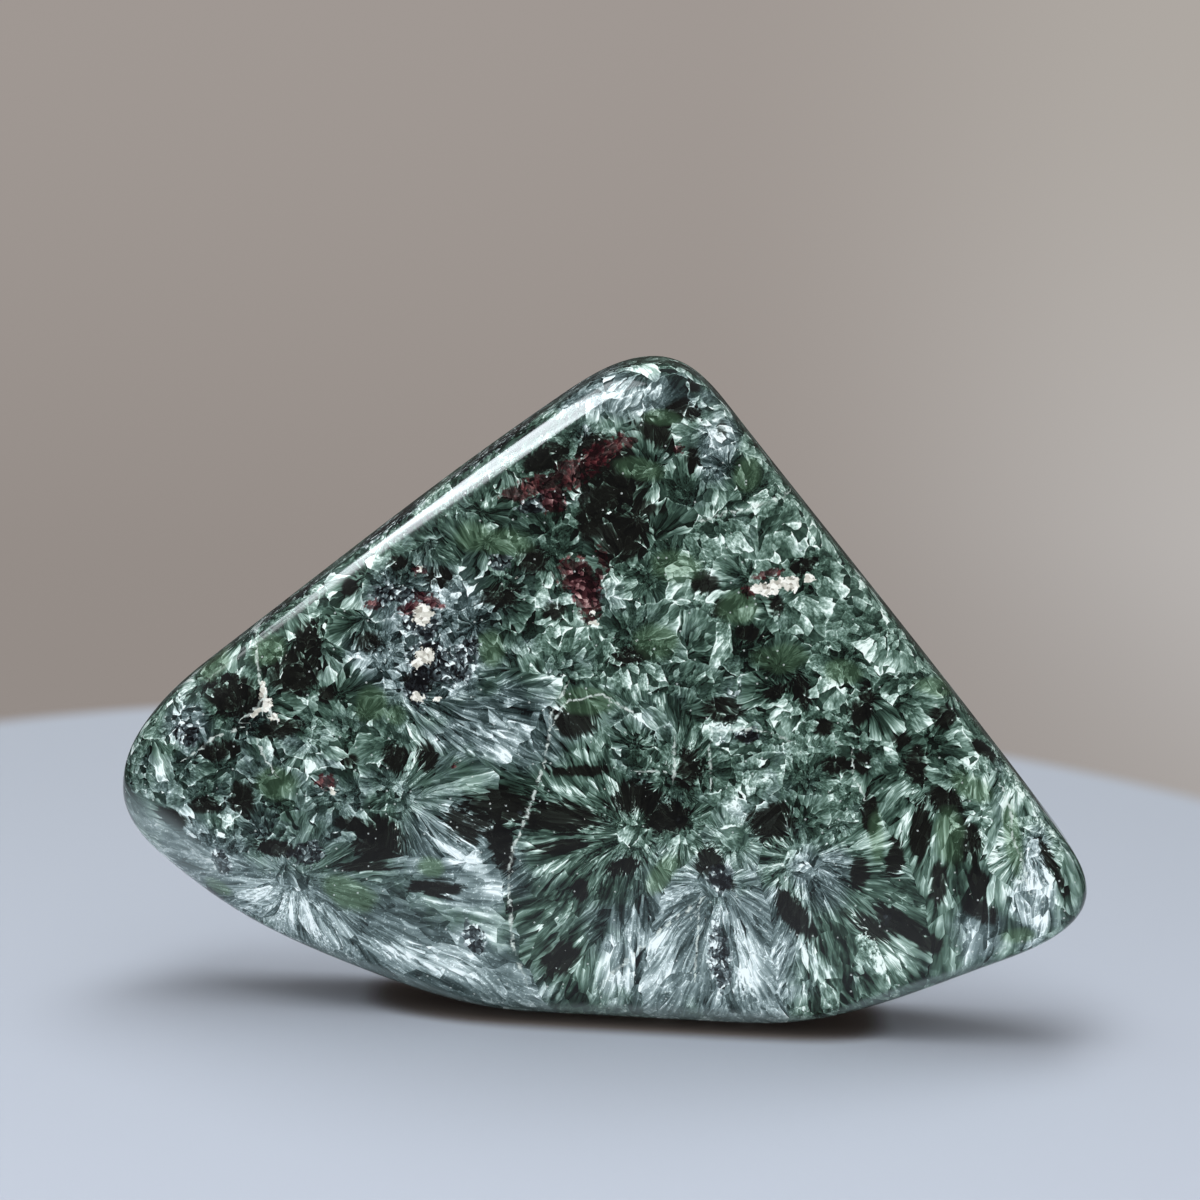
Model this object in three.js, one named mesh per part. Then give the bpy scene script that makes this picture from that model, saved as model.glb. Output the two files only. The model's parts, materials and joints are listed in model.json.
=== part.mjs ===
import * as THREE from "three";

// A polished free-form plate of seraphinite, cut as a rounded triangle and standing on a small flat
// ground into its lower edge. Millimetres, +Z up. X runs along the plate and Y through its thickness,
// with the display face towards -Y. The origin is on the table, under the middle of the plate.

// Driving dimensions
const plateWidth = 97.5;
const plateHeight = 67;
const plateThickness = 13;
const footRight = 16;
const footLeft = -7;
const faceCrown = 0.5; // how far the polished faces swell in the middle

const halfWidth = plateWidth / 2;
const halfThickness = plateThickness / 2;

// The outline, seen from the front and taken anticlockwise. Each station gives the place, the heading
// of the edge there in degrees, how far the polished roll of the front edge reaches into the face, and
// how deep that roll goes into the thickness.
const stations = [
  { name: "foot right", at: [footRight, 0], heading: 0, roll: 3.2, depth: 4.6 },
  { name: "lower right edge", at: [38.5, 7.3], heading: 24.5, roll: 2.6, depth: 3.4 },
  { name: "below right tip", at: [45.7, 11.2], heading: 36, roll: 2.0, depth: 2.8 },
  { name: "right tip", at: [halfWidth, 16.6], heading: 98, roll: 1.8, depth: 2.6 },
  { name: "right edge low", at: [46.2, 21.4], heading: 130, roll: 1.7, depth: 2.6 },
  { name: "right edge high", at: [12.0, 60.4], heading: 131.5, roll: 2.2, depth: 3.0 },
  { name: "apex", at: [3.0, plateHeight], heading: 180, roll: 3.4, depth: 3.6 },
  { name: "left edge high", at: [-8.0, 61.5], heading: 217.5, roll: 3.6, depth: 4.0 },
  { name: "left edge low", at: [-39.4, 35.2], heading: 220.5, roll: 5.0, depth: 4.4 },
  { name: "left tip", at: [-halfWidth, 21.4], heading: 272, roll: 5.6, depth: 4.6 },
  { name: "below left tip", at: [-44.7, 14.5], heading: 321, roll: 6.2, depth: 4.8 },
  { name: "lower left edge", at: [-38.0, 9.6], heading: 328, roll: 7.0, depth: 4.8 },
  { name: "lower left bow", at: [-23.5, 3.4], heading: 341, roll: 6.0, depth: 4.4 },
  { name: "foot left", at: [footLeft, 0], heading: 360, roll: 3.6, depth: 4.6 },
];

// The back edge has one even roll all round.
const backRoll = 3.0;
const backDepth = 3.0;

// How finely the surface is divided. The rings of a face shrink towards its highest point.
const stepsPerCurve = 9;
const stepsOnFoot = 5;
const rollSteps = 6;
const faceRings = [0.88, 0.72, 0.5, 0.25];
const faceMiddle = new THREE.Vector2(1, 30);

const radians = (degrees) => (degrees * Math.PI) / 180;
const mix = (a, b, t) => a + (b - a) * t;
const eased = (t) => t * t * (3 - 2 * t);

// The handle of a cubic curve, as a share of its chord, that makes it an arc of the given turn.
function handleShare(turn) {
  const angle = Math.max(Math.abs(turn), 0.01);
  return ((2 / 3) * Math.tan(angle / 4)) / Math.sin(angle / 2);
}

// The smooth curve from one station to the next.
function edgeCurve(from, to) {
  const start = new THREE.Vector2(...from.at);
  const end = new THREE.Vector2(...to.at);
  const turn = radians((to.heading - from.heading + 360) % 360);
  const reach = start.distanceTo(end) * handleShare(turn);
  const towards = (heading) => new THREE.Vector2(Math.cos(radians(heading)), Math.sin(radians(heading)));
  return new THREE.CubicBezierCurve(
    start,
    start.clone().addScaledVector(towards(from.heading), reach),
    end.clone().addScaledVector(towards(to.heading), -reach),
    end,
  );
}

// Points along the whole outline, each with its outward direction and the roll of the front edge.
function outlinePoints() {
  const points = [];
  stations.forEach((from, i) => {
    const to = stations[(i + 1) % stations.length];
    const curve = edgeCurve(from, to);
    const steps = to.name === "foot right" ? stepsOnFoot : stepsPerCurve;
    for (let step = 0; step < steps; step++) {
      const t = step / steps;
      const at = curve.getPoint(t);
      const along = curve.getTangent(t);
      points.push({
        at,
        outward: new THREE.Vector2(along.y, -along.x),
        roll: mix(from.roll, to.roll, eased(t)),
        depth: mix(from.depth, to.depth, eased(t)),
      });
    }
  });
  return points;
}

// One closed ring of corners: the outline moved inwards and set at a place in the thickness.
function ring(points, inset, across) {
  return points.map((point) => {
    const at = point.at.clone().addScaledVector(point.outward, -inset(point));
    return new THREE.Vector3(at.x, across(point), at.y);
  });
}

// The rings of the stone from the middle of the front face, round the edge, to the middle of the back.
function stoneRings(points) {
  const rings = [];
  const face = (side, roll) => (share) =>
    points.map((point) => {
      const rim = point.at.clone().addScaledVector(point.outward, -roll(point));
      const at = faceMiddle.clone().lerp(rim, share);
      const swell = faceCrown * (1 - share * share) ** 2;
      return new THREE.Vector3(at.x, side * (halfThickness + swell), at.y);
    });
  const frontFace = face(-1, (point) => point.roll);
  const backFace = face(1, () => backRoll);

  [...faceRings].reverse().forEach((share) => rings.push(frontFace(share)));
  for (let step = 0; step <= rollSteps; step++) {
    const angle = (Math.PI / 2) * (step / rollSteps);
    const inset = (point) => point.roll * (1 - Math.sin(angle));
    const across = (point) => -halfThickness + point.depth * (1 - Math.cos(angle));
    rings.push(ring(points, inset, across));
  }
  for (let step = rollSteps; step >= 0; step--) {
    const angle = (Math.PI / 2) * (step / rollSteps);
    const inset = () => backRoll * (1 - Math.sin(angle));
    const across = () => halfThickness - backDepth * (1 - Math.cos(angle));
    rings.push(ring(points, inset, across));
  }
  faceRings.forEach((share) => rings.push(backFace(share)));
  return { rings, front: frontFace(0)[0], back: backFace(0)[0] };
}

// Joins the rings, and the two middle points that close the faces, into one closed surface.
function skin({ rings, front, back }) {
  const count = rings[0].length;
  const corners = [...rings.flat(), front, back];
  const frontIndex = corners.length - 2;
  const backIndex = corners.length - 1;
  const triangles = [];
  for (let i = 0; i < count; i++) {
    const next = (i + 1) % count;
    triangles.push(frontIndex, i, next);
    for (let r = 0; r + 1 < rings.length; r++) {
      const a = r * count + i;
      const b = r * count + next;
      const c = a + count;
      const d = b + count;
      triangles.push(a, c, d, a, d, b);
    }
    const last = (rings.length - 1) * count;
    triangles.push(backIndex, last + next, last + i);
  }
  const geometry = new THREE.BufferGeometry();
  geometry.setFromPoints(corners);
  geometry.setIndex(triangles);
  geometry.computeVertexNormals();
  return geometry;
}

const seraphinite = new THREE.MeshStandardMaterial({
  color: new THREE.Color(0.2, 0.27, 0.23),
  roughness: 0.22,
  metalness: 0.0,
});

const plate = new THREE.Mesh(skin(stoneRings(outlinePoints())), seraphinite);
plate.name = "seraphinite_plate";

const stone = new THREE.Group();
stone.add(plate);

export default stone;
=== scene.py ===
import json
import math
import bpy
import numpy as np
from mathutils import Matrix, Vector

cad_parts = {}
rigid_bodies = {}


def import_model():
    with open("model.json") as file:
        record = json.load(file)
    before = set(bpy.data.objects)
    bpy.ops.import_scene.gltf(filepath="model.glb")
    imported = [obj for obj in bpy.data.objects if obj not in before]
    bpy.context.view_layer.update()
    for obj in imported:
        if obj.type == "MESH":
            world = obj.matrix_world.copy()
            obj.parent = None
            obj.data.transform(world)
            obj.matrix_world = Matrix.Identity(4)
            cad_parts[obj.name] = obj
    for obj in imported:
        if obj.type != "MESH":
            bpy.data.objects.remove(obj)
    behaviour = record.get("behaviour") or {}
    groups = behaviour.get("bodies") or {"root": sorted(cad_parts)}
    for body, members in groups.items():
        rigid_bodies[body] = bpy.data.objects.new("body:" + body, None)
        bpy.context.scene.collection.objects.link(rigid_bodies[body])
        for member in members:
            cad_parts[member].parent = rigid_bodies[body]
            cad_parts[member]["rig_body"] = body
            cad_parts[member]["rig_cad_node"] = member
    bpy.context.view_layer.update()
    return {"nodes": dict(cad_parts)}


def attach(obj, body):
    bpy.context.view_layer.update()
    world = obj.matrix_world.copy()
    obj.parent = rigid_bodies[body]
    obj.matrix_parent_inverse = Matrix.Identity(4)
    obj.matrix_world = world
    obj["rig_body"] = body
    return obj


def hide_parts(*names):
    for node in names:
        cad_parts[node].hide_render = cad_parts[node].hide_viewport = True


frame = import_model()
mm = 0.001

# The plate stands on its foot at the origin, with the display face towards -Y.
# Places on the stone are in millimetres, as x and z.

roomLook = {
    "photoWidth": 1200,            # pixels of the square frame
    "focalPixels": 2600,
    "sensorWidth": 36.0,
    "cameraPlace": (-1.6, -255.3, 92.2),
    "lookDown": 11.0,              # degrees below level
    "headTilt": 3.0,
    "tableCentre": (-6.0, 6.0),
    "tableRadius": 127.0,
    "tableEdge": 5.0,              # mm over which the table's edge blurs into the wall
    # painted light: the table is paler at the front and darker going back
    "tableNear": (0.475, 0.51, 0.58, 1),
    "tableFar": (0.37, 0.4, 0.45, 1),
    "tableFade": (-0.12, 0.11),    # metres, going back, over which near goes over into far
    "contactReach": 3.6,           # mm over which the stone shades the table under it
    "contactShade": (0.13, 0.11, 0.1, 1),
    "contactOpen": (0.5, 0.97),    # share of open sky where that shade is full and where it ends
    # painted light: the wall glows in these colours instead of being lit
    # the wall as the picture shows it, 0 to 255: low and high, left and right
    "wallLow": ((148, 140, 135), (190, 187, 185)),
    "wallHigh": ((160, 152, 147), (174, 168, 162)),
    "wallAcross": (0.01, 0.17),    # metres over which left goes over into right
    "wallUp": (0.13, 0.75),        # metres, going back and up, over which low goes over into high
    "mirroredWall": 0.12,          # how much of the wall's light the polish shows
    "mirroredTable": (0.02, 0.02, 0.02, 1),
    "mirroredFade": (-0.085, -0.025),
    # the floor and the wall behind it, in metres
    "floorSize": 1.3,
    "floorMiddle": -0.05,
    "wallHeight": 0.8,
    "wallCurve": 0.3,
}


def makeCamera():
    cameraData = bpy.data.cameras.new("camera")
    cameraData.sensor_width = roomLook["sensorWidth"]
    cameraData.lens = roomLook["sensorWidth"] * roomLook["focalPixels"] / roomLook["photoWidth"]
    camera = bpy.data.objects.new("camera", cameraData)
    bpy.context.scene.collection.objects.link(camera)
    look = Matrix.Rotation(math.radians(90 - roomLook["lookDown"]), 4, "X")
    tilt = Matrix.Rotation(math.radians(roomLook["headTilt"]), 4, "Z")
    camera.matrix_world = Matrix.Translation(Vector(roomLook["cameraPlace"]) * mm) @ look @ tilt
    bpy.context.scene.camera = camera


# Small helpers for node trees

def putNode(tree, kind, settings=None, **inputs):
    node = tree.nodes.new(kind)
    for name, value in (settings or {}).items():
        setattr(node, name, value)
    for name, value in inputs.items():
        plug(tree, value, node.inputs[name.replace("_", " ")])
    return node


def plug(tree, value, socket):
    if isinstance(value, bpy.types.NodeSocket):
        tree.links.new(value, socket)
    else:
        socket.default_value = value


def maths(tree, operation, a, b=None, c=None):
    node = tree.nodes.new("ShaderNodeMath")
    node.operation = operation
    for socket, value in zip(node.inputs, (a, b, c)):
        if value is not None:
            plug(tree, value, socket)
    return node.outputs[0]


def vectors(tree, operation, a, b=None, c=None, scale=None):
    node = tree.nodes.new("ShaderNodeVectorMath")
    node.operation = operation
    for socket, value in zip(node.inputs, (a, b, c)):
        if value is not None:
            plug(tree, value, socket)
    if scale is not None:
        plug(tree, scale, node.inputs["Scale"])
    return node.outputs["Value" if operation in ("LENGTH", "DISTANCE", "DOT_PRODUCT") else "Vector"]


def blend(tree, factor, a, b, kind="FLOAT"):
    node = tree.nodes.new("ShaderNodeMix")
    node.data_type = kind
    slots = {"FLOAT": (0, 2, 3), "VECTOR": (0, 4, 5), "RGBA": (0, 6, 7)}[kind]
    for index, value in zip(slots, (factor, a, b)):
        plug(tree, value, node.inputs[index])
    return node.outputs[{"FLOAT": 0, "VECTOR": 1, "RGBA": 2}[kind]]


def soften(tree, value, low, high):
    node = putNode(tree, "ShaderNodeMapRange", {"interpolation_type": "SMOOTHSTEP"})
    plug(tree, value, node.inputs["Value"])
    node.inputs["From Min"].default_value = low
    node.inputs["From Max"].default_value = high
    return node.outputs[0]


def noiseOf(tree, vector, scale, detail=2.0, roughness=0.5, output="Fac"):
    node = putNode(tree, "ShaderNodeTexNoise")
    plug(tree, vector, node.inputs["Vector"])
    node.inputs["Scale"].default_value = scale
    node.inputs["Detail"].default_value = detail
    node.inputs["Roughness"].default_value = roughness
    return node.outputs[output]


def cellsOf(tree, vector, scale=1.0, feature="F1"):
    node = putNode(tree, "ShaderNodeTexVoronoi", {"feature": feature})
    plug(tree, vector, node.inputs["Vector"])
    node.inputs["Scale"].default_value = scale
    return node.outputs


def parts(tree, vector):
    return putNode(tree, "ShaderNodeSeparateXYZ", Vector=vector).outputs


def rampOf(tree, value, stops):
    node = putNode(tree, "ShaderNodeValToRGB")
    points = node.color_ramp.elements
    while len(points) < len(stops):
        points.new(0.5)
    for point, (place, colour) in zip(points, stops):
        point.position = place
        point.color = screenColour(colour)
    plug(tree, value, node.inputs[0])
    return node.outputs["Color"]


def newGroup(name, inputs, outputs):
    group = bpy.data.node_groups.new(name, "ShaderNodeTree")
    for socketName, kind in inputs.items():
        group.interface.new_socket(socketName, in_out="INPUT", socket_type=kind)
    for socketName, kind in outputs.items():
        group.interface.new_socket(socketName, in_out="OUTPUT", socket_type=kind)
    return group, group.nodes.new("NodeGroupInput").outputs, group.nodes.new("NodeGroupOutput").inputs


def putGroup(tree, group, **inputs):
    return putNode(tree, "ShaderNodeGroup", {"node_tree": group}, **inputs).outputs


def newMaterial(name):
    material = bpy.data.materials.new(name)
    material.use_nodes = True
    tree = material.node_tree
    return material, tree, tree.nodes["Principled BSDF"].inputs


def screenColour(colour):
    # a colour as a picture shows it, from 0 to 255, made linear
    def linear(value):
        value = value / 255
        return value / 12.92 if value <= 0.04045 else ((value + 0.055) / 1.055) ** 2.4
    return (*map(linear, colour), 1)


# The room: a round pale table in front of a plain wall that glows with painted light

def makeRoom():
    material, tree, shader = newMaterial("table_and_wall")
    place = putNode(tree, "ShaderNodeTexCoord").outputs["Object"]
    flat = vectors(tree, "MULTIPLY", place, (1, 1, 0))
    centre = (roomLook["tableCentre"][0] * mm, roomLook["tableCentre"][1] * mm, 0)
    out = vectors(tree, "DISTANCE", flat, centre)
    inner = (roomLook["tableRadius"] - roomLook["tableEdge"]) * mm
    outer = (roomLook["tableRadius"] + roomLook["tableEdge"]) * mm
    beyond = soften(tree, out, inner, outer)
    across, depth, height = parts(tree, place)
    toRight = soften(tree, across, *roomLook["wallAcross"])
    upwards = soften(tree, maths(tree, "MULTIPLY_ADD", height, 1.5, depth), *roomLook["wallUp"])
    low, high = [blend(tree, toRight, screenColour(left), screenColour(right), "RGBA")
                 for left, right in (roomLook["wallLow"], roomLook["wallHigh"])]
    wall = blend(tree, upwards, low, high, "RGBA")
    # painted light: paler at the front, darker going back
    toFar = soften(tree, depth, *roomLook["tableFade"])
    table = blend(tree, toFar, roomLook["tableNear"], roomLook["tableFar"], "RGBA")
    # painted shadow: the table's colour darkens where the stone comes close to it
    nearby = putNode(tree, "ShaderNodeAmbientOcclusion", {"samples": 8},
                     Distance=roomLook["contactReach"] * mm)
    openness = soften(tree, nearby.outputs["AO"], *roomLook["contactOpen"])
    table = blend(tree, openness, roomLook["contactShade"], table, "RGBA")
    shader["Roughness"].default_value = 0.7
    shader["Specular IOR Level"].default_value = 0.0

    # the polish mirrors a dim room in front, so the pale table fades there for mirrored rays alone
    inFront = maths(tree, "SUBTRACT", 1, soften(tree, depth, *roomLook["mirroredFade"]))
    mirrored = putNode(tree, "ShaderNodeLightPath").outputs["Is Glossy Ray"]
    shown = maths(tree, "SUBTRACT", 1, maths(tree, "MULTIPLY", mirrored, inFront))
    base = blend(tree, beyond, table, (0, 0, 0, 1), "RGBA")
    base = blend(tree, shown, roomLook["mirroredTable"], base, "RGBA")
    plug(tree, base, shader["Base Color"])
    # painted light: the wall glows with the colours it has when lit, changing from left to right and going
    # up
    plug(tree, wall, shader["Emission Color"])
    glowing = maths(tree, "MULTIPLY", beyond, shown)
    dimmed = maths(tree, "MULTIPLY_ADD", mirrored, roomLook["mirroredWall"] - 1, 1)
    plug(tree, maths(tree, "MULTIPLY", glowing, dimmed), shader["Emission Strength"])

    bpy.ops.object.select_all(action="DESELECT")
    bpy.ops.mesh.primitive_plane_add(size=roomLook["floorSize"], location=(0, roomLook["floorMiddle"], 0))
    floor = bpy.context.object
    floor.name = "floor"
    nearBack = roomLook["floorSize"] * 0.45
    nearGround = roomLook["wallHeight"] * 0.1
    bpy.ops.object.mode_set(mode="EDIT")
    bpy.ops.mesh.select_mode(type="EDGE")
    bpy.ops.mesh.select_all(action="DESELECT")
    bpy.ops.object.mode_set(mode="OBJECT")
    for edge in floor.data.edges:
        edge.select = all(floor.data.vertices[i].co.y > nearBack for i in edge.vertices)
    bpy.ops.object.mode_set(mode="EDIT")
    bpy.ops.mesh.extrude_region_move(TRANSFORM_OT_translate={"value": (0, 0, roomLook["wallHeight"])})
    bpy.ops.object.mode_set(mode="OBJECT")
    # the wall rises from the floor in one wide curve
    for edge in floor.data.edges:
        ends = [floor.data.vertices[i].co for i in edge.vertices]
        edge.select = all(end.y > nearBack and end.z < nearGround for end in ends)
    bpy.ops.object.mode_set(mode="EDIT")
    bpy.ops.mesh.bevel(offset=roomLook["wallCurve"], segments=20)
    bpy.ops.object.mode_set(mode="OBJECT")
    bpy.ops.object.shade_smooth()
    bpy.ops.object.transform_apply(location=True)
    floor.data.materials.append(material)
    print("room made")


lightLook = {
    # place and size in mm, watts, colour, whether it lights surfaces, whether the polish mirrors it
    "window": ((-466, -130, 545), (780, 152), 6.2, (0.87, 0.95, 1.0), False, True),
    "window foot": ((-529, -130, 491), (900, 80), 2.2, (0.87, 0.95, 1.0), False, True),
    "haze": ((-380, -160, 560), (700, 380), 4.8, (0.92, 0.97, 1.0), False, True),
    "ceiling": ((-60, 40, 750), (900, 300), 4.2, (0.95, 0.98, 1.0), True, False),
    "room": ((-100, -900, 60), (500, 100), 6.2, (0.97, 0.98, 1.0), True, False),
}

# The light all round: what falls on surfaces, and what the polish mirrors
skyLook = {
    "fallingLow": (0.09, 0.055, 0.04, 1),
    "fallingHigh": (1.1, 1.13, 1.17, 1),
    "fromBehind": 0.15,            # how far the falling light leans to the back of the room
    "mirroredLow": (0.03, 0.03, 0.03, 1),
    "mirroredHigh": (0.24, 0.26, 0.29, 1),
}


def makeLights():
    for name, (place, size, watts, colour, lighting, mirrored) in lightLook.items():
        lightData = bpy.data.lights.new(name, "AREA")
        lightData.shape = "RECTANGLE"
        lightData.size, lightData.size_y = size[0] * mm, size[1] * mm
        lightData.energy = watts
        lightData.color = colour
        light = bpy.data.objects.new(name, lightData)
        bpy.context.scene.collection.objects.link(light)
        light.location = Vector(place) * mm
        aim = Vector((0, 0, 30)) * mm - light.location
        light.rotation_euler = aim.to_track_quat("-Z", "Y").to_euler()
        light.visible_camera = False
        light.visible_diffuse = lighting
        light.visible_glossy = mirrored
    world = bpy.data.worlds.new("soft light")
    bpy.context.scene.world = world
    world.use_nodes = True
    tree = world.node_tree
    direction = parts(tree, putNode(tree, "ShaderNodeTexCoord").outputs["Generated"])
    back, height = direction["Y"], direction["Z"]
    skyward = soften(tree, height, -0.1, 0.9)
    mirrored = putNode(tree, "ShaderNodeLightPath").outputs["Is Glossy Ray"]
    reflected = blend(tree, skyward, skyLook["mirroredLow"], skyLook["mirroredHigh"], "RGBA")
    # soft light falls from above, and the room all round stays dim and warm
    overhead = soften(tree, maths(tree, "MULTIPLY_ADD", back, skyLook["fromBehind"], height), 0.1, 1.1)
    falling = blend(tree, overhead, skyLook["fallingLow"], skyLook["fallingHigh"], "RGBA")
    ambient = blend(tree, mirrored, falling, reflected, "RGBA")
    plug(tree, ambient, tree.nodes["Background"].inputs["Color"])
    bpy.context.scene.view_settings.view_transform = "Standard"
    print("lights made")


# The stone

stoneShape = {
    "voxel": 0.38,       # mm between neighbouring points of the finished surface
    "smoothing": 2,      # levels of subdivision that round the solid
    "polish": 5,         # rounds of smoothing that level the even skin
}


def makeStone():
    cadPlate = frame["nodes"]["seraphinite_plate"]
    bpy.ops.object.select_all(action="DESELECT")
    cadPlate.select_set(True)
    bpy.context.view_layer.objects.active = cadPlate
    bpy.ops.object.duplicate()
    stone = bpy.context.object
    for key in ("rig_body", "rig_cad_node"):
        del stone[key]
    stone.parent = None
    stone.name = stone.data.name = "seraphinite_stone"
    stone.data.materials.clear()
    bpy.ops.object.mode_set(mode="EDIT")
    bpy.ops.mesh.select_all(action="SELECT")
    bpy.ops.mesh.remove_doubles(threshold=0.00001)
    widest = math.radians(60)
    bpy.ops.mesh.tris_convert_to_quads(face_threshold=widest, shape_threshold=widest)
    bpy.ops.mesh.normals_make_consistent(inside=False)
    bpy.ops.object.mode_set(mode="OBJECT")
    rounded = stone.modifiers.new("rounded", "SUBSURF")
    rounded.levels = rounded.render_levels = stoneShape["smoothing"]
    bpy.ops.object.modifier_apply(modifier=rounded.name)

    # an even skin over the rounded form carries the painted masks
    bpy.ops.object.duplicate()
    form = bpy.context.object
    form.name = "rounded_form"
    bpy.ops.object.select_all(action="DESELECT")
    stone.select_set(True)
    bpy.context.view_layer.objects.active = stone
    even = stone.modifiers.new("even", "REMESH")
    even.mode = "VOXEL"
    even.voxel_size = stoneShape["voxel"] * mm
    bpy.ops.object.modifier_apply(modifier=even.name)
    wrap = stone.modifiers.new("wrap", "SHRINKWRAP")
    wrap.target = form
    wrap.wrap_method = "NEAREST_SURFACEPOINT"
    bpy.ops.object.modifier_apply(modifier=wrap.name)
    polish = stone.modifiers.new("polish", "SMOOTH")
    polish.factor = 0.5
    polish.iterations = stoneShape["polish"]
    bpy.ops.object.modifier_apply(modifier=polish.name)
    bpy.data.objects.remove(form)
    bpy.ops.object.shade_smooth()
    print("stone made:", len(stone.data.vertices), "points,", len(stone.data.polygons), "faces")
    return stone


# What grew where. A patch is x, z, half length, half height and tilt in degrees,
# seen from the display side.

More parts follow.
